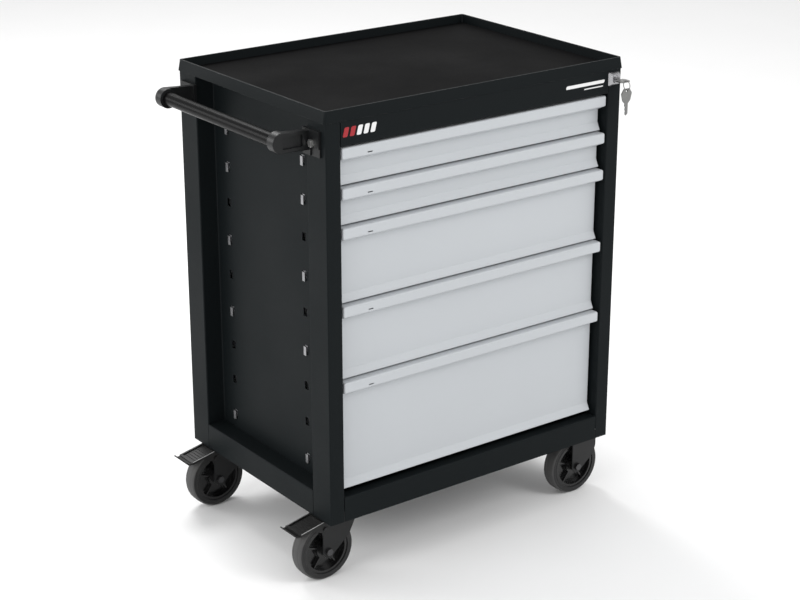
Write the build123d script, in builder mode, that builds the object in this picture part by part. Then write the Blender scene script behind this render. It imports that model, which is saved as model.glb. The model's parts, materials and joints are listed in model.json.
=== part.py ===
from build123d import *
import os

# Rolling tool chest: sheet-metal cabinet, five drawers on ball slides, top tray,
# side push handle, two braked swivel casters and two fixed casters, cylinder lock.
# Millimetres. +X right along the front, +Y to the back, +Z up, floor at Z = 0.
# The pieces are drawn about the cabinet's centre line and saved about the centre
# of the whole chest's bounding box.

# ---------------------------------------------------------------- cabinet
half_width = 350.0
half_depth = 250.0
sheet = 1.2
bend = 2.4
skirt_z = 132.0
base_z = 154.0
cabinet_top = 916.5
post_front = 32.0
post_side = 60.0
recess_depth = 40.0
sill_top = 184.0
rail_top = 182.0
fascia_bottom = 869.0
opening_half = half_width - post_front
panel_x = half_width - recess_depth
seam = 0.4

# ---------------------------------------------------------------- worktop tray
rim_top = 937.5
rim_bottom = 915.5
rim_flare = 3.0
rim_width = 4.0
mat_thickness = 2.6
mat_gap = 1.0

# ---------------------------------------------------------------- drawers
drawer_pitch = 75.0
drawer_units = [1, 1, 2, 2, 3]
drawer_top = 865.0
drawer_gap = 3.0
lip_half = 314.5
panel_half = 311.5
lip_height = 20.0
lip_drop = 30.0
panel_setback = 21.0
flare_height = 16.0
flare_out = 8.0
box_half = 296.0
box_wall = 1.0
box_back = 190.0
box_lift = 4.0
slit_size = (11.0, 2.2)
slit_from_edge = 55.0

# ---------------------------------------------------------------- slides
slide_length = 390.0
slide_front = -214.0
slide_rise = 22.5
slot_size = (12.0, 16.0)
slot_rows = (-116.0, 146.0)
slot_first_z = 815.0
slot_count = 9

# ---------------------------------------------------------------- handle
tube_x = -412.0
tube_z = 881.0
tube_radius = 13.0
cup_radius = 19.0
cup_inner_y = 185.0
cup_outer_y = 206.0
flange_z = 875.0
bolt_y = 215.0

# ---------------------------------------------------------------- casters
caster_inset_x = 40.0
caster_inset_y = 52.0
wheel_radius = 62.0
tyre_width = 32.0
rim_radius = 49.0
swivel_trail = 26.0
fixed_offset = 12.0
fork_inner = 19.5
fork_outer = 22.5
axle_radius = 4.0
pin_x = -34.0
pin_z = 113.0
pin_radius = 3.0
running_gap = 0.05

# ---------------------------------------------------------------- lock
lock_x = 331.0
lock_z = 897.0
lock_body_radius = 8.5
barrel_radius = 6.0
cam_throw = 6.5
key_hole_y = -281.0
ring_radius = 9.0
ring_wire = 0.8
ring_centre_y = key_hole_y - 6.4
ring_centre_z = lock_z - 6.4

caster_x = half_width - caster_inset_x
caster_y = half_depth - caster_inset_y
tray_x = half_width + rim_flare
tray_y = half_depth + 1.5
left_reach = tube_x - cup_radius
right_reach = caster_x - fixed_offset + wheel_radius
front_reach = ring_centre_y - ring_radius - ring_wire
frame_shift = (-(left_reach + right_reach) / 2, -(front_reach + tray_y) / 2)

drawers = []
top_z = drawer_top
for units in drawer_units:
    drawers.append((top_z - units * drawer_pitch + drawer_gap, top_z))
    top_z -= units * drawer_pitch

swivel_places = {"front": -caster_y, "rear": caster_y}

os.makedirs("parts", exist_ok=True)


def save(builder, name):
    """Write one node about the chest's shared origin."""
    placed = builder.part.moved(Location((frame_shift[0], frame_shift[1], 0)))
    placed.label = name
    export_step(placed, f"parts/{name}.step")


def folded(points, radius=bend, side=Side.LEFT, thickness=sheet):
    """Cross-section of a sheet folded along a path of outer corners."""
    with BuildSketch() as section:
        with BuildLine():
            FilletPolyline(*points, radius=radius)
            offset(amount=thickness, side=side)
        make_face()
    return section.sketch


def block(low, high, mode=Mode.ADD):
    """Box between two corners, added to the current part."""
    size = [b - a for a, b in zip(low, high)]
    middle = tuple((a + b) / 2 for a, b in zip(low, high))
    with Locations(middle):
        Box(*size, mode=mode)


# ================================================================ body shell
shell_path = [
    (opening_half, -half_depth + 28),
    (opening_half, -half_depth),
    (half_width, -half_depth),
    (half_width, -half_depth + post_side),
    (panel_x, -half_depth + post_side),
    (panel_x, half_depth - post_side),
    (half_width, half_depth - post_side),
    (half_width, half_depth),
    (half_width - 28, half_depth),
]
sill_path = [(half_width, skirt_z), (half_width, sill_top), (panel_x, sill_top)]

with BuildPart() as side_shell_right:
    # Front post, recessed side panel and rear post are one folded pressing.
    with BuildSketch(Plane.XY.offset(skirt_z)):
        add(folded(shell_path))
    extrude(amount=cabinet_top - skirt_z)
    # Sill across the foot of the recess.
    with BuildSketch(Plane.XZ):
        add(folded(sill_path))
    extrude(amount=half_depth - post_side, both=True)
    # Room for the base pan and the caster heads behind the skirt.
    block(
        (0, -half_depth + sheet, skirt_z - 1),
        (half_width - sheet, half_depth - sheet, base_z + sheet),
        mode=Mode.SUBTRACT,
    )
    block(
        (0, -half_depth - 1, skirt_z - 1),
        (half_width - post_front + sheet, half_depth + 1, base_z + sheet),
        mode=Mode.SUBTRACT,
    )
    # Two columns of slide slots at the drawer pitch.
    for slot_y in slot_rows:
        for index in range(slot_count):
            slot_z = slot_first_z - index * drawer_pitch
            block(
                (panel_x - 3, slot_y - slot_size[0] / 2, slot_z - slot_size[1] / 2),
                (panel_x + 3, slot_y + slot_size[0] / 2, slot_z + slot_size[1] / 2),
                mode=Mode.SUBTRACT,
            )

with BuildPart() as side_shell_left:
    mirror(side_shell_right.part, about=Plane.YZ)
    # Clearance holes for the handle bolts.
    for bolt_side in (-1, 1):
        with Locations(Plane((-half_width, bolt_side * bolt_y, flange_z), z_dir=(1, 0, 0))):
            Cylinder(axle_radius + 0.2, 12, mode=Mode.SUBTRACT)

with BuildPart() as lock_side_shell:
    add(side_shell_right.part)
    # Lock body hole through the front of the right post.
    with Locations(Plane((lock_x, -half_depth, lock_z), z_dir=(0, 1, 0))):
        Cylinder(lock_body_radius, 8, mode=Mode.SUBTRACT)

save(side_shell_left, "side_shell_left")
save(lock_side_shell, "side_shell_right")

with BuildPart() as base_pan:
    block(
        (-half_width + sheet, -half_depth + sheet, base_z),
        (half_width - sheet, half_depth - 2 * sheet, base_z + sheet),
    )
    # Caster bolt holes.
    for side in (-1, 1):
        for end in (-1, 1):
            with Locations((side * caster_x, end * caster_y, base_z)):
                with GridLocations(46, 74, 2, 2):
                    Cylinder(axle_radius + 0.25, 6, mode=Mode.SUBTRACT)
save(base_pan, "base_pan")

with BuildPart() as back_panel:
    block(
        (-half_width + 2 * bend, half_depth - 2 * sheet, skirt_z),
        (half_width - 2 * bend, half_depth - sheet, cabinet_top),
    )
    # Two pressed stiffening channels.
    for channel_z in (400, 660):
        with BuildSketch(Plane.XZ.offset(-half_depth + 2 * sheet)):
            with Locations((0, channel_z)):
                SlotOverall(560, 26)
        extrude(amount=5)
        with BuildSketch(Plane.XZ.offset(-half_depth + sheet)):
            with Locations((0, channel_z)):
                SlotOverall(560 - 2 * sheet, 26 - 2 * sheet)
        extrude(amount=5, mode=Mode.SUBTRACT)
save(back_panel, "back_panel")

fascia_path = [
    (-half_depth + 25, cabinet_top),
    (-half_depth, cabinet_top),
    (-half_depth, fascia_bottom),
    (-half_depth + 24, fascia_bottom),
    (-half_depth + 24, fascia_bottom + 8),
]
with BuildPart() as top_fascia:
    with BuildSketch(Plane.YZ):
        add(folded(fascia_path))
    extrude(amount=opening_half - seam, both=True)
save(top_fascia, "top_fascia")

rail_path = [
    (-half_depth + 26, base_z + sheet),
    (-half_depth + 26, rail_top),
    (-half_depth, rail_top),
    (-half_depth, skirt_z),
]
with BuildPart() as bottom_rail:
    with BuildSketch(Plane.YZ):
        add(folded(rail_path))
    extrude(amount=opening_half - seam, both=True)
save(bottom_rail, "bottom_rail")

# ================================================================ worktop tray
pocket_x = half_width - rim_width + 0.5
pocket_y = tray_y - rim_flare - rim_width + 0.5


with BuildPart() as worktop_tray:
    # Sloped outer skirt, hollow underneath.
    with BuildSketch(Plane.XY.offset(rim_bottom)):
        RectangleRounded(2 * tray_x, 2 * tray_y, 5)
    with BuildSketch(Plane.XY.offset(rim_top)):
        RectangleRounded(2 * (tray_x - rim_flare), 2 * (tray_y - rim_flare), 4)
    loft()
    with BuildSketch(Plane.XY.offset(rim_bottom)):
        RectangleRounded(2 * (tray_x - sheet), 2 * (tray_y - sheet), 4)
    with BuildSketch(Plane.XY.offset(rim_top - sheet)):
        RectangleRounded(2 * (tray_x - rim_flare - sheet), 2 * (tray_y - rim_flare - sheet), 3)
    loft(mode=Mode.SUBTRACT)
    # Inner wall and floor.
    with BuildSketch(Plane.XY.offset(cabinet_top)):
        RectangleRounded(2 * (pocket_x + sheet), 2 * (pocket_y + sheet), 4)
    extrude(amount=rim_top - cabinet_top)
    with BuildSketch(Plane.XY.offset(cabinet_top + sheet)):
        RectangleRounded(2 * pocket_x, 2 * pocket_y, 3)
    extrude(amount=rim_top, mode=Mode.SUBTRACT)
save(worktop_tray, "worktop_tray")

mat_z = cabinet_top + sheet
with BuildPart() as tray_mat:
    with BuildSketch(Plane.XY.offset(mat_z)):
        RectangleRounded(2 * (pocket_x - mat_gap), 2 * (pocket_y - mat_gap), 3)
    extrude(amount=mat_thickness)
    fillet(tray_mat.faces().sort_by(Axis.Z)[-1].edges(), radius=0.8)
save(tray_mat, "tray_mat")

# ================================================================ handle
with BuildPart() as handle_tube:
    with BuildSketch(Plane((tube_x, 0, tube_z), x_dir=(1, 0, 0), z_dir=(0, 1, 0))):
        Circle(tube_radius)
        Circle(tube_radius - 1.5, mode=Mode.SUBTRACT)
    extrude(amount=cup_outer_y - 5, both=True)
save(handle_tube, "handle_tube")

with BuildPart() as handle_bracket_front:
    # Arm outline, from the rounded cup to the foot on the post.
    with BuildSketch(Plane.XZ.offset(cup_outer_y - 13)):
        with BuildLine():
            Polyline(
                (tube_x, tube_z + cup_radius),
                (-half_width - 5, tube_z + 15),
                (-half_width - 5, tube_z - 21),
                (tube_x, tube_z - cup_radius),
                close=True,
            )
        make_face()
        with Locations((tube_x, tube_z)):
            Circle(cup_radius)
    extrude(amount=13)
    # Cup that takes the tube end.
    with BuildSketch(Plane.XZ.offset(cup_inner_y)):
        with Locations((tube_x, tube_z)):
            Circle(cup_radius)
    extrude(amount=cup_outer_y - cup_inner_y)
    fillet(
        handle_bracket_front.faces().sort_by(Axis.Y)[0].edges(),
        radius=2.2,
    )
    # Foot flange against the side of the post.
    block(
        (-half_width - 6, -236, flange_z - 24),
        (-half_width, -186, flange_z + 24),
    )
    block(
        (-half_width - 7, -237, flange_z - 25),
        (-half_width - 3.5, -cup_outer_y - 4, flange_z - 8),
        mode=Mode.SUBTRACT,
    )
    # Recessed panel in the arm's outer face.
    with BuildSketch(Plane.XZ.offset(cup_outer_y)):
        with Locations((-390, tube_z - 1)):
            RectangleRounded(42, 22, 2)
    extrude(amount=-4, mode=Mode.SUBTRACT)
    # Bore for the tube and hole for the bolt.
    with Locations(Plane((tube_x, -cup_inner_y - 8, tube_z), z_dir=(0, 1, 0))):
        Cylinder(tube_radius, 16, mode=Mode.SUBTRACT)
    with Locations(Plane((-half_width, -bolt_y, flange_z), z_dir=(1, 0, 0))):
        Cylinder(axle_radius + 0.2, 30, mode=Mode.SUBTRACT)
save(handle_bracket_front, "handle_bracket_front")

with BuildPart() as handle_bracket_rear:
    mirror(handle_bracket_front.part, about=Plane.XZ)
save(handle_bracket_rear, "handle_bracket_rear")

with BuildPart() as handle_bolts:
    for bolt_side in (-1, 1):
        centre = (-half_width - 6, bolt_side * bolt_y, flange_z)
        with BuildSketch(Plane(centre, x_dir=(0, 1, 0), z_dir=(-1, 0, 0))):
            RegularPolygon(7.5, 6)
        extrude(amount=5)
        with BuildSketch(Plane(centre, x_dir=(0, 1, 0), z_dir=(1, 0, 0))):
            Circle(axle_radius)
        extrude(amount=18)
        with BuildSketch(Plane((-half_width + sheet, centre[1], flange_z), z_dir=(1, 0, 0))):
            RegularPolygon(7.5, 6)
        extrude(amount=6)
save(handle_bolts, "handle_bolts")


# ================================================================ slides
def slide_channel(side, centre_z, web_x, edge_x, reach, wall=1.2, length=slide_length):
    """One C-shaped slide member; web_x and edge_x are measured from the centre line."""
    low_x, high_x = sorted((side * web_x, side * edge_x))
    block(
        (low_x, slide_front, centre_z - reach),
        (high_x, slide_front + length, centre_z + reach),
    )
    inner_low, inner_high = sorted((side * (web_x + (wall if edge_x > web_x else -wall)), side * edge_x))
    block(
        (inner_low, slide_front, centre_z - reach + wall),
        (inner_high, slide_front + length, centre_z + reach - wall),
        mode=Mode.SUBTRACT,
    )


outer_web = panel_x - sheet
for side_name, side in (("left", -1), ("right", 1)):
    with BuildPart() as slide_outer:
        for bottom, top in drawers:
            centre_z = bottom + slide_rise
            slide_channel(side, centre_z, outer_web, outer_web - 10.3, 22.4)
            # Hooks through the slots of the recessed panel.
            for slot_y in slot_rows:
                hook_x = sorted((side * outer_web, side * (outer_web + 4)))
                lip_x = sorted((side * (outer_web + 2), side * (outer_web + 4)))
                block(
                    (hook_x[0], slot_y - 4, bottom + 22 - 4),
                    (hook_x[1], slot_y + 4, bottom + 22 + 6),
                )
                block(
                    (lip_x[0], slot_y - 4, bottom + 22 - 12),
                    (lip_x[1], slot_y + 4, bottom + 22 + 6),
                )
    save(slide_outer, f"slide_outer_{side_name}")

# ================================================================ drawers
front_y = -half_depth
skin_y = front_y + panel_setback
wall_y = skin_y + sheet

for number, (bottom, top) in enumerate(drawers, 1):
    with BuildPart() as drawer_front:
        # Hollow full-width lip, closed at both ends.
        with BuildSketch(Plane.YZ):
            with BuildLine():
                Polyline(
                    (wall_y, top),
                    (front_y, top),
                    (front_y, top - lip_height),
                    (skin_y, top - lip_drop),
                    (wall_y, top - lip_drop),
                    close=True,
                )
            make_face()
        extrude(amount=lip_half, both=True)
        fillet(
            drawer_front.edges().filter_by(Axis.X).group_by(Axis.Y)[0],
            radius=3.5,
        )
        end_edges = drawer_front.edges().filter_by(Axis.Y).group_by(Axis.Z)[-1]
        fillet(end_edges, radius=4)
        with BuildSketch(Plane.YZ):
            with BuildLine():
                Polyline(
                    (wall_y + 1, top - sheet),
                    (front_y + sheet, top - sheet),
                    (front_y + sheet, top - lip_height + 0.6),
                    (skin_y + 0.4, top - lip_drop + 1.6),
                    (wall_y + 1, top - lip_drop + 1.6),
                    close=True,
                )
            make_face()
        extrude(amount=lip_half - 4.4, both=True, mode=Mode.SUBTRACT)
        # Flat front with the forward flare along its lower edge.
        with BuildSketch(Plane.YZ):
            add(
                folded(
                    [
                        (skin_y, top - lip_drop + 0.5),
                        (skin_y, bottom + flare_height),
                        (skin_y - flare_out, bottom),
                        (wall_y, bottom),
                    ],
                    radius=1.6,
                )
            )
        extrude(amount=panel_half, both=True)
        # Small slit in the lip.
        block(
            (-lip_half + slit_from_edge, front_y - 1, top - 16),
            (-lip_half + slit_from_edge + slit_size[0], front_y + 3, top - 16 + slit_size[1]),
            mode=Mode.SUBTRACT,
        )
    save(drawer_front, f"drawer_front_{number}")

    floor_z = bottom + box_lift
    wall_top = min(top - 10, bottom + 210)
    with BuildPart() as drawer_box:
        block((-box_half, wall_y, floor_z), (box_half, box_back, wall_top))
        block(
            (-box_half, wall_y, wall_top - 1),
            (box_half, wall_y + box_wall, top - sheet),
        )
        block(
            (-box_half + box_wall, wall_y + box_wall, floor_z + box_wall),
            (box_half - box_wall, box_back - box_wall, top + 1),
            mode=Mode.SUBTRACT,
        )
        # Rolled top edges on the sides and the back.
        for side in (-1, 1):
            low_x, high_x = sorted((side * (box_half - box_wall), side * (box_half - 4)))
            block((low_x, wall_y + box_wall, wall_top - 3), (high_x, box_back - box_wall, wall_top))
        block(
            (-box_half + 4, box_back - 4, wall_top - 3),
            (box_half - 4, box_back - box_wall, wall_top),
        )
        # Catch for the locking bar.
        block((box_half, -216.5, bottom + 50), (box_half + 16, -215, bottom + 58))
    save(drawer_box, f"drawer_box_{number}")

    centre_z = bottom + slide_rise
    with BuildPart() as slide_inner:
        for side in (-1, 1):
            slide_channel(side, centre_z, box_half, box_half + 7.5, 17)
    save(slide_inner, f"slide_inner_{number}")

    with BuildPart() as slide_middle:
        for side in (-1, 1):
            slide_channel(side, centre_z, outer_web - 2, outer_web - 10.3, 20.2)
    save(slide_middle, f"slide_middle_{number}")


# ================================================================ casters
def wheel_plane(x, y):
    """Plane across a wheel: local X is chest X, local Y is chest Z, from mid-width."""
    return Plane((x, y, wheel_radius), x_dir=(1, 0, 0), z_dir=(0, -1, 0))


def side_plane(x, y):
    """Plane of a caster's side view, with the floor at local Y = 0."""
    return Plane((x, y, 0), x_dir=(1, 0, 0), z_dir=(0, -1, 0))


def make_wheel(x, y, name):
    """Spoked rim with hub, and the tyre on it."""
    with BuildPart() as wheel_rim:
        with BuildSketch(wheel_plane(x, y)):
            Circle(rim_radius)
            Circle(rim_radius - 6, mode=Mode.SUBTRACT)
        extrude(amount=14, both=True)
        with BuildSketch(wheel_plane(x, y)):
            Circle(rim_radius - 5)
        extrude(amount=4, both=True)
        with BuildSketch(wheel_plane(x, y)) as windows:
            Circle(rim_radius - 10)
            Circle(21, mode=Mode.SUBTRACT)
            with PolarLocations(0, 5, start_angle=18):
                with Locations((30, 0)):
                    Rectangle(40, 9, mode=Mode.SUBTRACT)
            fillet(windows.vertices(), radius=3)
        extrude(amount=6, both=True, mode=Mode.SUBTRACT)
        # Thin disc that closes the windows at mid-width.
        with BuildSketch(wheel_plane(x, y)):
            Circle(rim_radius - 5)
        extrude(amount=1, both=True)
        # Spoke ribs, hub boss and hub.
        with BuildSketch(wheel_plane(x, y)):
            with PolarLocations(0, 5, start_angle=18):
                with Locations((29, 0)):
                    Rectangle(30, 3)
        extrude(amount=9, both=True)
        with BuildSketch(wheel_plane(x, y)):
            Circle(19)
        extrude(amount=11, both=True)
        with BuildSketch(wheel_plane(x, y)):
            Circle(12)
        extrude(amount=fork_inner - 0.5, both=True)
        with BuildSketch(wheel_plane(x, y)):
            Circle(axle_radius + running_gap)
        extrude(amount=30, both=True, mode=Mode.SUBTRACT)
    save(wheel_rim, f"wheel_rim_{name}")

    with BuildPart() as tyre:
        with BuildSketch(wheel_plane(x, y)):
            Circle(wheel_radius)
            Circle(rim_radius, mode=Mode.SUBTRACT)
        extrude(amount=tyre_width / 2, both=True)
        outer_edges = tyre.edges().filter_by(GeomType.CIRCLE).group_by(SortBy.RADIUS)[-1]
        fillet(outer_edges, radius=6)
    save(tyre, f"tyre_{name}")


def make_axle(x, y):
    """Hex bolt across the fork with its nut run on."""
    with BuildPart() as axle:
        with BuildSketch(wheel_plane(x, y).offset(fork_outer)):
            RegularPolygon(7.5, 6)
        extrude(amount=5.5)
        with BuildSketch(wheel_plane(x, y).offset(fork_outer)):
            Circle(axle_radius)
        extrude(amount=-2 * fork_outer - 8)
        with BuildSketch(wheel_plane(x, y).offset(-fork_outer)):
            RegularPolygon(7.5, 6)
        extrude(amount=-6.5)
    return axle.part


def bolt_holes(x, y, level):
    """Four bolt holes through a caster's top plate."""
    with Locations((x, y, level)):
        with GridLocations(46, 74, 2, 2):
            Cylinder(axle_radius + 0.25, 10, mode=Mode.SUBTRACT)


def top_plate(x, y):
    """Rounded mounting plate under the base pan."""
    with BuildPart() as plate:
        with BuildSketch(Plane((x, y, base_z - 3))):
            RectangleRounded(66, 94, 7)
        extrude(amount=3)
    return plate.part


swivel_outline = [
    (-29, 141.5),
    (-30, 131),
    (-33, 123),
    (-41, 119.5),
    (-41, 106),
    (-38, 96),
    (-39, 58),
    (-30, 48),
    (-20, 48),
    (-10, 58),
    (22, 86),
    (36, 114),
    (30, 131),
    (29, 141.5),
]
fixed_outline = [
    (-28, base_z - 3),
    (-26, 131),
    (-25, 58),
    (-17, 48),
    (-7, 48),
    (3, 57),
    (33, 82),
    (38, 100),
    (38, base_z - 3),
]

with BuildPart() as caster_plates:
    for place_y in swivel_places.values():
        add(top_plate(-caster_x, place_y))
        with BuildSketch(Plane((-caster_x, place_y, base_z - 3))):
            Circle(25)
        extrude(amount=-5.5)
        # King pin with its head under the fork crown.
        with BuildSketch(Plane((-caster_x, place_y, base_z - 5))):
            Circle(6)
        extrude(amount=-14)
        with BuildSketch(Plane((-caster_x, place_y, 138.0))):
            Circle(9)
        extrude(amount=-3)
        bolt_holes(-caster_x, place_y, base_z)
save(caster_plates, "caster_plates")

for place, place_y in swivel_places.items():
    wheel_x = -caster_x - swivel_trail
    with BuildPart() as swivel_fork:
        with BuildSketch(side_plane(-caster_x, place_y)):
            with BuildLine():
                Polyline(*swivel_outline, close=True)
            make_face()
        extrude(amount=fork_outer, both=True)
        fillet(
            swivel_fork.edges()
            .filter_by(Axis.Y)
            .filter_by(lambda edge: edge.center().Z < 128),
            radius=3,
        )
        # Clear the wheel between the two side plates.
        block(
            (-caster_x - 60, place_y - fork_inner, 30),
            (-caster_x + 60, place_y + fork_inner, 138.5),
            mode=Mode.SUBTRACT,
        )
        # Lower race of the swivel head.
        with BuildSketch(Plane((-caster_x, place_y, 138.5))):
            Circle(29)
        extrude(amount=3)
        with BuildSketch(Plane((-caster_x, place_y, 141.5))):
            Circle(29)
            Circle(26, mode=Mode.SUBTRACT)
        extrude(amount=6)
        with Locations((-caster_x, place_y, 140)):
            Cylinder(6.1, 10, mode=Mode.SUBTRACT)
        # Axle hole and the two brake pivot studs.
        with BuildSketch(wheel_plane(wheel_x, place_y)):
            Circle(axle_radius)
        extrude(amount=40, both=True, mode=Mode.SUBTRACT)
        for face in (-1, 1):
            stud = Plane((-caster_x + pin_x, place_y + face * 22, pin_z), z_dir=(0, face, 0))
            with BuildSketch(stud):
                Circle(pin_radius)
            extrude(amount=4.4)
            with BuildSketch(stud.offset(3.4)):
                Circle(5)
            extrude(amount=2)
    save(swivel_fork, f"swivel_fork_{place}")

    with BuildPart() as swivel_axle:
        add(make_axle(wheel_x, place_y))
    save(swivel_axle, f"swivel_axle_{place}")

    with BuildPart() as brake_pedal:
        # Sloping tread plate with a raised frame.
        with BuildSketch(side_plane(-caster_x, place_y)):
            with BuildLine():
                Polyline((-36, 129.2), (-92, 117.4), (-92, 112.6), (-36, 124.4), close=True)
            make_face()
        extrude(amount=26, both=True)
        with BuildSketch(side_plane(-caster_x, place_y)):
            with BuildLine():
                Polyline((-41, 129), (-87, 119.3), (-87, 116.0), (-41, 125.7), close=True)
            make_face()
        extrude(amount=21.5, both=True, mode=Mode.SUBTRACT)
        # Upturned toe at the tip.
        with BuildSketch(side_plane(-caster_x, place_y)):
            with BuildLine():
                Polyline(
                    (-90, 113.0),
                    (-99, 113.2),
                    (-106, 119.5),
                    (-104, 120.9),
                    (-98, 116.0),
                    (-90, 116.0),
                    close=True,
                )
            make_face()
        extrude(amount=24, both=True)
        # Ears down to the pivot studs.
        for face in (-1, 1):
            with BuildSketch(side_plane(-caster_x, place_y + face * 24)):
                with BuildLine():
                    Polyline((-28, 114), (-36, 126), (-66, 119), (-44, 108), close=True)
                make_face()
                with Locations((pin_x, pin_z)):
                    Circle(6.5)
            extrude(amount=1, both=True)
        # Brake shoe over the tyre.
        with BuildSketch(side_plane(-caster_x, place_y)):
            with BuildLine():
                Polyline((-58, 120.5), (-67, 118.5), (-67, 112.6), (-58, 116.4), close=True)
            make_face()
        extrude(amount=11, both=True)
        with BuildSketch(side_plane(-caster_x, place_y)):
            with Locations((pin_x, pin_z)):
                Circle(pin_radius + running_gap)
        extrude(amount=40, both=True, mode=Mode.SUBTRACT)
    save(brake_pedal, f"brake_pedal_{place}")

    make_wheel(wheel_x, place_y, f"swivel_{place}")

    with BuildPart() as fixed_fork:
        add(top_plate(caster_x, place_y))
        with BuildSketch(side_plane(caster_x, place_y)):
            with BuildLine():
                Polyline(*fixed_outline, close=True)
            make_face()
        extrude(amount=fork_outer, both=True)
        fillet(
            fixed_fork.edges()
            .filter_by(Axis.Y)
            .filter_by(lambda edge: edge.center().Z < 125),
            radius=3,
        )
        block(
            (caster_x - 60, place_y - fork_inner, 30),
            (caster_x + 60, place_y + fork_inner, base_z - 6),
            mode=Mode.SUBTRACT,
        )
        with BuildSketch(wheel_plane(caster_x - fixed_offset, place_y)):
            Circle(axle_radius)
        extrude(amount=40, both=True, mode=Mode.SUBTRACT)
        bolt_holes(caster_x, place_y, base_z)
    save(fixed_fork, f"fixed_fork_{place}")

    make_wheel(caster_x - fixed_offset, place_y, f"fixed_{place}")

with BuildPart() as fixed_axles:
    for place_y in swivel_places.values():
        add(make_axle(caster_x - fixed_offset, place_y))
save(fixed_axles, "fixed_axles")

with BuildPart() as caster_bolts:
    for side in (-1, 1):
        for place_y in swivel_places.values():
            centre = Plane((side * caster_x, place_y, base_z))
            with BuildSketch(centre.offset(-8.3)):
                with GridLocations(46, 74, 2, 2):
                    RegularPolygon(7.2, 6)
            extrude(amount=5.3)
            with BuildSketch(centre.offset(-4)):
                with GridLocations(46, 74, 2, 2):
                    Circle(axle_radius)
            extrude(amount=13)
            with BuildSketch(centre.offset(sheet)):
                with GridLocations(46, 74, 2, 2):
                    RegularPolygon(7.2, 6)
            extrude(amount=6)
save(caster_bolts, "caster_bolts")

# ================================================================ lock
lock_front = Plane((lock_x, -half_depth, lock_z), x_dir=(1, 0, 0), z_dir=(0, -1, 0))

with BuildPart() as lock_housing:
    # Bevelled rosette on the post, threaded body behind it.
    with BuildSketch(lock_front):
        RectangleRounded(28, 27, 3)
    with BuildSketch(lock_front.offset(8)):
        RectangleRounded(19, 18, 3)
    loft()
    with BuildSketch(lock_front):
        Circle(lock_body_radius)
    extrude(amount=-18)
    with BuildSketch(lock_front.offset(-sheet)):
        RegularPolygon(10.8, 6)
    extrude(amount=-4)
    with BuildSketch(lock_front.offset(10)):
        Circle(barrel_radius + running_gap)
    extrude(amount=-40, mode=Mode.SUBTRACT)
save(lock_housing, "lock_housing")

with BuildPart() as lock_barrel:
    with BuildSketch(lock_front.offset(10.5)):
        Circle(barrel_radius)
    extrude(amount=-34)
    with BuildSketch(lock_front.offset(8.4)):
        Circle(7.6)
    extrude(amount=2.6)
    # Cam with the drive pin for the locking bar.
    with BuildSketch(lock_front.offset(-20.5)):
        Circle(8)
        with Locations((-cam_throw * 0.7071, cam_throw * 0.7071)):
            Circle(4.6)
    extrude(amount=-3)
    with BuildSketch(lock_front.offset(-23)):
        with Locations((-cam_throw * 0.7071, cam_throw * 0.7071)):
            Circle(2.5)
    extrude(amount=-8.4)
    # Keyway.
    with BuildSketch(lock_front.offset(12)):
        Rectangle(9, 2.6)
    extrude(amount=-22, mode=Mode.SUBTRACT)
save(lock_barrel, "lock_barrel")

with BuildPart() as lock_key:
    # Blade in the keyway, flat bow in front of the lock.
    with BuildSketch(Plane.XY.offset(lock_z - 1)):
        with Locations((lock_x, -275)):
            RectangleRounded(25, 22, 6)
        with Locations((lock_x, -254)):
            Rectangle(8.2, 26)
    extrude(amount=2)
    blade_corners = lock_key.edges().filter_by(Axis.Z).filter_by(lambda edge: edge.center().Y > -266)
    fillet(blade_corners, radius=0.8)
    with Locations((lock_x, key_hole_y, lock_z)):
        Cylinder(3.0, 6, mode=Mode.SUBTRACT)
save(lock_key, "lock_key")

with BuildPart() as key_ring:
    with Locations(Plane((lock_x, ring_centre_y, ring_centre_z), z_dir=(1, 0, 0))):
        Torus(ring_radius, ring_wire)
save(key_ring, "key_ring")

spare_z = ring_centre_z - ring_radius - 1.5
with BuildPart() as spare_key:
    with BuildSketch(Plane.XZ.offset(-ring_centre_y - 1)) as spare_outline:
        with BuildLine():
            Polyline(
                (lock_x - 7, spare_z + 4.5),
                (lock_x + 7, spare_z + 4.5),
                (lock_x + 13.5, spare_z - 5),
                (lock_x + 10, spare_z - 19),
                (lock_x + 4, spare_z - 25),
                (lock_x - 4, spare_z - 25),
                (lock_x - 10, spare_z - 19),
                (lock_x - 13.5, spare_z - 5),
                close=True,
            )
        make_face()
        fillet(spare_outline.vertices(), radius=2)
        with BuildLine():
            Polyline(
                (lock_x - 4, spare_z - 24),
                (lock_x + 4, spare_z - 24),
                (lock_x + 4, spare_z - 45),
                (lock_x, spare_z - 49),
                (lock_x - 2, spare_z - 47),
                (lock_x - 2.6, spare_z - 43),
                (lock_x - 1.6, spare_z - 40),
                (lock_x - 3.4, spare_z - 37),
                (lock_x - 2.0, spare_z - 33),
                (lock_x - 4, spare_z - 30),
                close=True,
            )
        make_face()
        with Locations((lock_x, spare_z)):
            Circle(2.4, mode=Mode.SUBTRACT)
    extrude(amount=2)
save(spare_key, "spare_key")

bar_y = (-221.5, -219.0)
pin_rest = (lock_x - cam_throw * 0.7071, lock_z + cam_throw * 0.7071)
with BuildPart() as lock_bar:
    # Vertical bar behind the right post's return, one tab per drawer.
    block((320, bar_y[0], 245), (338, bar_y[1], 888))
    block((316, bar_y[0], 884), (338, bar_y[1], 911))
    for bottom, top in drawers:
        block((301, bar_y[0], bottom + 59.5), (322, bar_y[1], bottom + 66))
    block(
        (pin_rest[0] - 5, bar_y[0] - 1, pin_rest[1] - 2.9),
        (pin_rest[0] + 3.2, bar_y[1] + 1, pin_rest[1] + 2.9),
        mode=Mode.SUBTRACT,
    )
save(lock_bar, "lock_bar")
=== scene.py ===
import json
import math

import bmesh
import bpy
from mathutils import Matrix, Vector


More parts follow.
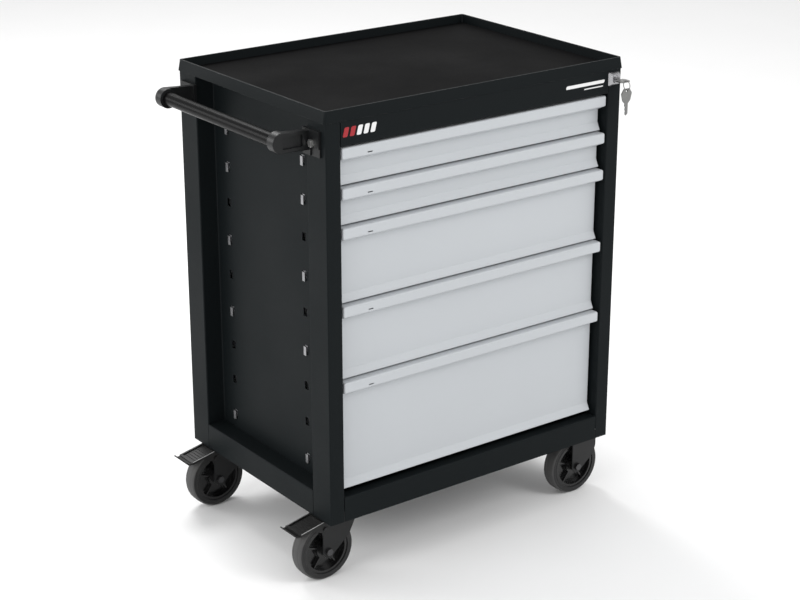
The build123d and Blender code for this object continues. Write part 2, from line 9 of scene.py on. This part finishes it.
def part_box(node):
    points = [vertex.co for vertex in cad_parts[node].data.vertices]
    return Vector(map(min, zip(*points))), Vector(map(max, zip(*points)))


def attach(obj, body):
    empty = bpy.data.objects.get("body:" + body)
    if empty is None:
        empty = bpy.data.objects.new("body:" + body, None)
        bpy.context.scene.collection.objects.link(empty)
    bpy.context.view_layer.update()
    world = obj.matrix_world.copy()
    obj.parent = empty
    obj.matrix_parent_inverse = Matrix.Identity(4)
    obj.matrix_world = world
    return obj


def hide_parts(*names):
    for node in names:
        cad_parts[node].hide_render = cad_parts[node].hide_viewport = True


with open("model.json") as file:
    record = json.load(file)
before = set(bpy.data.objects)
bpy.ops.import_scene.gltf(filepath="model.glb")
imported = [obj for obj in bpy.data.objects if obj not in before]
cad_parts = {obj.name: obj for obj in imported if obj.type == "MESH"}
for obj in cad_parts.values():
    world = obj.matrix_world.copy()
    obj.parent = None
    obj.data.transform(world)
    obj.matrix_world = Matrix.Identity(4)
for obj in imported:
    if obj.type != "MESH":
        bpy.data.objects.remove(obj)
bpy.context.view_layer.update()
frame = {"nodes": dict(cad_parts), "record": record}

# Rolling tool chest. Metres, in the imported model's own frame: +X right along the
# front, +Y to the back, +Z up, floor at Z = 0.

nodes = frame["nodes"]
ends = ("front", "rear")


# ================================================================ node materials
class Graph:
    """A node material with short calls for the nodes used here."""

    def __init__(self, name, base, rough, metallic=0.0, specular=0.5):
        self.material = bpy.data.materials.new(name)
        self.material.use_nodes = True
        self.tree = self.material.node_tree
        self.shader = self.tree.nodes["Principled BSDF"]
        self.material.diffuse_color = (*base, 1.0)
        self.shader.inputs["Base Color"].default_value = (*base, 1.0)
        self.shader.inputs["Roughness"].default_value = rough
        self.shader.inputs["Metallic"].default_value = metallic
        self.shader.inputs["Specular IOR Level"].default_value = specular
        self.coords = self.add("ShaderNodeTexCoord").outputs["Object"]

    def add(self, kind, **settings):
        node = self.tree.nodes.new(kind)
        for key, value in settings.items():
            setattr(node, key, value)
        return node

    def link(self, source, target):
        self.tree.links.new(source, target)

    def stretched(self, scale):
        """Object coordinates scaled per axis, for brushed or scuffed marks."""
        mapping = self.add("ShaderNodeMapping")
        mapping.inputs["Scale"].default_value = scale
        self.link(self.coords, mapping.inputs["Vector"])
        return mapping.outputs["Vector"]

    def noise(self, scale, detail=3.0, rough=0.5, vector=None):
        node = self.add("ShaderNodeTexNoise")
        node.inputs["Scale"].default_value = scale
        node.inputs["Detail"].default_value = detail
        node.inputs["Roughness"].default_value = rough
        self.link(vector or self.coords, node.inputs["Vector"])
        return node.outputs["Fac"]

    def remap(self, value, low, high, to_low, to_high):
        node = self.add("ShaderNodeMapRange")
        for key, number in zip(("From Min", "From Max", "To Min", "To Max"), (low, high, to_low, to_high)):
            node.inputs[key].default_value = number
        self.link(value, node.inputs["Value"])
        return node.outputs["Result"]

    def math(self, operation, first, second):
        node = self.add("ShaderNodeMath", operation=operation)
        for slot, value in zip(node.inputs, (first, second)):
            if isinstance(value, (int, float)):
                slot.default_value = value
            else:
                self.link(value, slot)
        return node.outputs["Value"]

    def mix(self, factor, first, second):
        node = self.add("ShaderNodeMix", data_type="RGBA")
        self.link(factor, node.inputs["Factor"])
        for slot, value in ((node.inputs[6], first), (node.inputs[7], second)):
            if isinstance(value, tuple):
                slot.default_value = (*value, 1.0)
            else:
                self.link(value, slot)
        return node.outputs[2]

    def bump(self, height, distance, strength):
        node = self.add("ShaderNodeBump")
        node.inputs["Distance"].default_value = distance
        node.inputs["Strength"].default_value = strength
        self.link(height, node.inputs["Height"])
        self.link(node.outputs["Normal"], self.shader.inputs["Normal"])

    def colour(self, value):
        self.link(value, self.shader.inputs["Base Color"])

    def roughness(self, value):
        self.link(value, self.shader.inputs["Roughness"])


def shade(colour, factor):
    return tuple(min(1.0, channel * factor) for channel in colour)


def coated(name, base, rough, specular, grain, depth, spread=0.12, scuff=1.5):
    """Powder coat or moulded plastic: fine texture, uneven gloss, faint scuffs."""
    graph = Graph(name, base, rough, specular=specular)
    broad = graph.noise(5.0, 4.0)
    fine = graph.noise(grain, 4.0, 0.6)
    marks = graph.noise(60.0, 5.0, 0.65, graph.stretched((1.0, 1.0, 7.0)))
    cloudy = graph.mix(broad, shade(base, 1 - spread), shade(base, 1 + spread))
    speckled = graph.mix(graph.remap(fine, 0.35, 0.7, 0.0, 0.5), cloudy, shade(base, 1 - spread * 0.6))
    rubbed = graph.remap(marks, 0.68, 0.8, 0.0, 0.35)
    graph.colour(graph.mix(rubbed, speckled, shade(base, scuff)))
    uneven = graph.remap(broad, 0.3, 0.7, rough * 0.88, rough * 1.12)
    graph.roughness(graph.math("ADD", uneven, graph.remap(fine, 0.3, 0.7, -0.04, 0.04)))
    graph.bump(fine, depth, 0.35)
    return graph.material


def metal(name, base, rough, brush, depth=0.00004, stain=0.7):
    """Plated steel: brushed direction, cloudy plating and dull patches."""
    graph = Graph(name, base, rough, metallic=1.0)
    lines = graph.noise(90.0, 4.0, 0.6, graph.stretched(brush))
    clouds = graph.noise(28.0, 5.0, 0.55)
    dull = graph.remap(clouds, 0.45, 0.75, 0.0, 0.6)
    graph.colour(graph.mix(dull, base, shade(base, stain)))
    streaked = graph.remap(lines, 0.3, 0.7, rough * 0.75, rough * 1.25)
    graph.roughness(graph.math("ADD", streaked, graph.remap(clouds, 0.4, 0.8, 0.0, 0.12)))
    graph.bump(lines, depth, 0.3)
    return graph.material


def rubber(name, base, rough, grain, dust):
    """Rubber with a dusty, slightly worn skin."""
    graph = Graph(name, base, rough, specular=0.35)
    fine = graph.noise(grain, 5.0, 0.65)
    patches = graph.noise(22.0, 5.0, 0.6)
    dusty = graph.remap(patches, 0.42, 0.72, 0.0, 0.7)
    graph.colour(graph.mix(dusty, base, dust))
    graph.roughness(graph.remap(patches, 0.3, 0.7, rough * 0.9, min(1.0, rough * 1.15)))
    graph.bump(fine, 0.0003, 0.4)
    return graph.material


finishes = {
    "body_paint": coated("body_paint", (0.0066, 0.0086, 0.0094), 0.5, 0.065, 520.0, 0.00022),
    "drawer_paint": coated("drawer_paint", (0.465, 0.485, 0.505), 0.42, 0.3, 620.0, 0.00014, 0.03, 1.06),
    "mat_rubber": coated("mat_rubber", (0.0042, 0.0042, 0.0044), 0.66, 0.02, 380.0, 0.0003, 0.15, 1.6),
    "handle_black": coated("handle_black", (0.0032, 0.0032, 0.0034), 0.3, 0.05, 260.0, 0.00008, 0.1, 2.0),
    "bracket_cast": coated("bracket_cast", (0.009, 0.0095, 0.010), 0.38, 0.2, 300.0, 0.00035, 0.15, 2.2),
    "zinc_steel": metal("zinc_steel", (0.86, 0.86, 0.84), 0.34, (1.0, 1.0, 6.0)),
    "slide_steel": metal("slide_steel", (0.30, 0.30, 0.31), 0.36, (8.0, 0.6, 8.0)),
    "axle_steel": metal("axle_steel", (0.085, 0.085, 0.088), 0.36, (1.0, 5.0, 1.0), 0.00004, 0.6),
    "fork_steel": coated("fork_steel", (0.0075, 0.0078, 0.0082), 0.34, 0.3, 300.0, 0.0002, 0.15, 2.4),
    "pedal_plastic": coated("pedal_plastic", (0.007, 0.007, 0.007), 0.38, 0.3, 340.0, 0.0003, 0.15, 2.2),
    "rim_plastic": coated("rim_plastic", (0.0055, 0.0055, 0.0058), 0.24, 0.5, 300.0, 0.0002, 0.15, 2.4),
    "tyre_rubber": rubber("tyre_rubber", (0.013, 0.013, 0.0135), 0.5, 420.0, (0.024, 0.024, 0.023)),
    "lock_metal": metal("lock_metal", (0.40, 0.40, 0.41), 0.26, (5.0, 1.0, 1.0)),
    "key_metal": metal("key_metal", (0.25, 0.25, 0.245), 0.26, (1.0, 1.0, 5.0)),
}
# Light grey for the pedal rim beads: a painted highlight, not a real rubbed edge.
pedal_painted_highlight = coated("pedal_painted_highlight", (0.42, 0.42, 0.42), 0.34, 0.4, 500.0, 0.0002, 0.3, 1.5)
# Light grey for the tray's rounded edges: a painted highlight, not a real finish.
tray_painted_highlight = coated("tray_painted_highlight", (0.21, 0.212, 0.215), 0.34, 0.4, 700.0, 0.0001, 0.35, 1.8)
# Lighter grey rubber for the tread: painted sheen where light falls on it, with real dust patches on top.
tread_rubber_painted_sheen = rubber("tread_rubber_painted_sheen", (0.055, 0.055, 0.055), 0.62, 300.0, (0.085, 0.084, 0.082))
mark_red = coated("mark_red", (0.32, 0.012, 0.018), 0.4, 0.4, 500.0, 0.0001, 0.08, 1.2)
mark_white = coated("mark_white", (0.72, 0.72, 0.72), 0.4, 0.4, 500.0, 0.0001, 0.04, 1.05)

slot_of = {entry["node"]: entry["material_slot"] for entry in frame["record"]["subparts"]}
for name, slot in slot_of.items():
    mesh = nodes[name].data
    mesh.materials.clear()
    mesh.materials.append(finishes[slot])

# The tray's folded edges are slightly rounded, and the rounding gets a light colour, a painted highlight
# along the rim.
# The imported mesh is split along its hard edges, and a bevel needs them joined.
weld_distance = 0.00001
sharp_angle = math.radians(40)
tray_edge_radius = 0.0011


def rounded_edge(name, radius, material):
    weld = nodes[name].modifiers.new("joined", "WELD")
    weld.merge_threshold = weld_distance
    bevel = nodes[name].modifiers.new("rounded", "BEVEL")
    bevel.width = radius
    bevel.segments = 2
    bevel.limit_method = "ANGLE"
    bevel.angle_limit = sharp_angle
    bevel.harden_normals = True
    nodes[name].data.materials.append(material)
    bevel.material = 1


rounded_edge("worktop_tray", tray_edge_radius, tray_painted_highlight)


# ================================================================ new pieces
def finish_piece(mesh_data, name, material, body, smooth_angle=35):
    """Turn the bmesh into a named piece that rides on a body."""
    mesh = bpy.data.meshes.new(name)
    mesh_data.normal_update()
    for edge in mesh_data.edges:
        if len(edge.link_faces) == 2:
            edge.smooth = edge.calc_face_angle(0.0) < math.radians(smooth_angle)
    for face in mesh_data.faces:
        face.smooth = True
    mesh_data.to_mesh(mesh)
    mesh_data.free()
    piece = bpy.data.objects.new(name, mesh)
    bpy.context.scene.collection.objects.link(piece)
    mesh.materials.append(material)
    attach(piece, body)
    return piece


def revolve_y(profile, centre, steps):
    """Closed ring of (offset along Y, radius) points turned about an axis along Y."""
    bm = bmesh.new()
    rings = []
    for step in range(steps):
        angle = 2 * math.pi * step / steps
        ring = []
        for offset, radius in profile:
            place = centre + Vector((radius * math.cos(angle), offset, radius * math.sin(angle)))
            ring.append(bm.verts.new(place))
        rings.append(ring)
    for step in range(steps):
        here, after = rings[step], rings[(step + 1) % steps]
        for index in range(len(profile)):
            other = (index + 1) % len(profile)
            bm.faces.new((here[index], here[other], after[other], after[index]))
    bmesh.ops.recalc_face_normals(bm, faces=bm.faces)
    return bm


# Tyres: crowned tread with two fine grooves and a stepped side wall, the tread painted lighter as sheen.
# Each point is (offset from mid-width, radius).
half_profile = [
    (0.0160, 0.0492),
    (0.0160, 0.0520),
    (0.0154, 0.0524),
    (0.0154, 0.0548),
    (0.0158, 0.0560),
    (0.0152, 0.0584),
    (0.0136, 0.0604),
    (0.0112, 0.0615),
    (0.0080, 0.0618),
    (0.0074, 0.0612),
    (0.0068, 0.0618),
    (0.0030, 0.0620),
]
painted_sheen_radius = 0.0585
tyre_steps = 128
tyre_profile = half_profile + [(-offset, radius) for offset, radius in reversed(half_profile)]
for side in ("swivel", "fixed"):
    for end in ends:
        node = f"tyre_{side}_{end}"
        low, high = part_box(node)
        centre = (low + high) / 2
        ring = revolve_y(tyre_profile, centre, tyre_steps)
        tread = finish_piece(
            ring, f"tread_{side}_{end}", finishes["tyre_rubber"], f"{side}_wheel_{end}", 50
        )
        tread.data.materials.append(tread_rubber_painted_sheen)
        # Faces out on the tread take the lighter rubber, a painted sheen.
        for face in tread.data.polygons:
            if math.hypot(face.center.x - centre.x, face.center.z - centre.z) > painted_sheen_radius:
                face.material_index = 1
        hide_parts(node)


# Brake pedals: grip ribs across the sunken tread and a light bead along each rim, a painted highlight for
# the rim's bright edge.
tread_drop, tread_run = 0.0097, 0.046
pedal_slope = math.atan2(tread_drop, tread_run)
toe_to_tread, toe_to_bead = 0.065, 0.042
tread_height, bead_height = 0.1257, 0.1233
rib_size = (0.0016, 0.038, 0.0022)
rib_first, rib_step, rib_count = 0.0125, 0.0068, 6
bead_size = (0.052, 0.0014, 0.0014)
bead_inset = 0.0010
bar_rounding = 0.0004


def sloped_bar(bm, place, size):
    """Bar of the given size along X, Y and Z, lying on the pedal's slope."""
    verts = bmesh.ops.create_cube(bm, size=1.0)["verts"]
    bmesh.ops.scale(bm, vec=size, verts=verts)
    turn = Matrix.Rotation(-pedal_slope, 4, "Y")
    bmesh.ops.transform(bm, matrix=Matrix.Translation(place) @ turn, verts=verts)


def rounded_bars(bars, name, material, body):
    """One piece made of rounded bars, each given as its place and its size."""
    bm = bmesh.new()
    for place, size in bars:
        sloped_bar(bm, place, size)
    bmesh.ops.bevel(bm, geom=list(bm.edges), offset=bar_rounding, segments=2, affect="EDGES")
    finish_piece(bm, name, material, body)


for end in ends:
    low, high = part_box(f"brake_pedal_{end}")
    middle_y = (low.y + high.y) / 2
    ribs = []
    for index in range(rib_count):
        along = rib_first + index * rib_step
        drop = along * math.tan(pedal_slope)
        ribs.append((Vector((low.x + toe_to_tread - along, middle_y, tread_height - drop)), rib_size))
    rounded_bars(ribs, f"pedal_ribs_{end}", finishes["pedal_plastic"], f"brake_{end}")
    beads = [
        (Vector((low.x + toe_to_bead, edge_y, bead_height)), bead_size)
        for edge_y in (low.y + bead_inset, high.y - bead_inset)
    ]
    rounded_bars(beads, f"pedal_highlight_beads_{end}", pedal_painted_highlight, f"brake_{end}")


# Plain stripes and lines on the fascia.
mark_rise = 0.00025
mark_depth = 0.0003
mark_corner = 0.0012


def slanted_bar(left, bottom, width, height, lean, face_y, name, material):
    """Thin slanted stripe on the front of the fascia."""
    bm = bmesh.new()
    corners = [
        (left, bottom),
        (left + width, bottom),
        (left + width + lean, bottom + height),
        (left + lean, bottom + height),
    ]
    front = [bm.verts.new((x, face_y - mark_rise, z)) for x, z in corners]
    face = bm.faces.new(front)
    grown = bmesh.ops.extrude_face_region(bm, geom=[face])
    for vert in grown["geom"]:
        if isinstance(vert, bmesh.types.BMVert):
            vert.co.y += mark_depth
    bmesh.ops.recalc_face_normals(bm, faces=bm.faces)
    across = [edge for edge in bm.edges if abs((edge.verts[0].co - edge.verts[1].co).y) > mark_depth / 2]
    bmesh.ops.bevel(bm, geom=across, offset=mark_corner, segments=3, affect="EDGES")
    return finish_piece(bm, name, material, "cabinet")


fascia_low, fascia_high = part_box("top_fascia")
mark_bottom = fascia_low.z + 0.0165
stripe_inset, stripe_step = 0.004, 0.0150
stripe_width, stripe_height, stripe_lean = 0.0100, 0.0175, 0.0045
stripe_count, red_count = 5, 2
for index in range(stripe_count):
    slanted_bar(
        fascia_low.x + stripe_inset + index * stripe_step,
        mark_bottom,
        stripe_width,
        stripe_height,
        stripe_lean,
        fascia_low.y,
        f"stripe_mark_{index + 1}",
        mark_red if index < red_count else mark_white,
    )

# Two lines near the right end: distance from that end, rise, width, height and lean.
lines = (
    (0.110, 0.007, 0.098, 0.0065, 0.0020),
    (0.064, 0.0, 0.050, 0.0022, 0.0007),
)
for number, (inset, rise, width, height, lean) in enumerate(lines, start=1):
    slanted_bar(
        fascia_high.x - inset,
        mark_bottom + rise,
        width,
        height,
        lean,
        fascia_low.y,
        f"line_mark_{number}",
        mark_white,
    )

# ================================================================ floor, light, camera
floor_mesh = bpy.data.meshes.new("floor")
reach = 60.0
floor_mesh.from_pydata(
    [(-reach, -reach, 0), (reach, -reach, 0), (reach, reach, 0), (-reach, reach, 0)], [], [(0, 1, 2, 3)]
)
floor = bpy.data.objects.new("floor", floor_mesh)
bpy.context.scene.collection.objects.link(floor)
floor_mesh.materials.append(coated("floor_pale", (0.86, 0.86, 0.86), 0.7, 0.2, 90.0, 0.0001, 0.01, 1.0))

world = bpy.data.worlds.new("studio")
bpy.context.scene.world = world
world.use_nodes = True
world.node_tree.nodes["Background"].inputs["Color"].default_value = (1.0, 1.0, 1.0, 1.0)
world.node_tree.nodes["Background"].inputs["Strength"].default_value = 0.85


def area_light(name, place, target, size, energy):
    lamp = bpy.data.lights.new(name, "AREA")
    lamp.shape = "DISK"
    lamp.size = size
    lamp.energy = energy
    holder = bpy.data.objects.new(name, lamp)
    bpy.context.scene.collection.objects.link(holder)
    holder.location = place
    holder.rotation_mode = "QUATERNION"
    holder.rotation_quaternion = (Vector(place) - Vector(target)).to_track_quat("Z", "Y")


area_light("key", (1.4, -3.4, 3.0), (0.0, 0.0, 0.5), 2.2, 62.0)
area_light("side", (-3.2, -0.6, 1.9), (0.0, 0.0, 0.5), 1.8, 30.0)
area_light("back", (0.2, 2.8, 4.2), (0.0, 0.0, 0.5), 2.2, 120.0)
area_light("back_side", (-2.6, 2.6, 1.6), (0.0, 0.0, 0.4), 1.6, 32.0)

view_azimuth = math.radians(-36.66)
view_height = math.radians(20.51)
view_distance = 3.8269
view_aim = Vector((0.0072, -0.0129, 0.4526))
towards_camera = Vector(
    (
        math.sin(view_azimuth) * math.cos(view_height),
        -math.cos(view_azimuth) * math.cos(view_height),
        math.sin(view_height),
    )
)
camera_data = bpy.data.cameras.new("camera")
camera_data.sensor_width = 36.0
camera_data.lens = 85.77
camera = bpy.data.objects.new("camera", camera_data)
bpy.context.scene.collection.objects.link(camera)
camera.location = view_aim + towards_camera * view_distance
camera.rotation_mode = "QUATERNION"
camera.rotation_quaternion = (-towards_camera).to_track_quat("-Z", "Y")
bpy.context.scene.camera = camera
bpy.context.scene.view_settings.view_transform = "Standard"
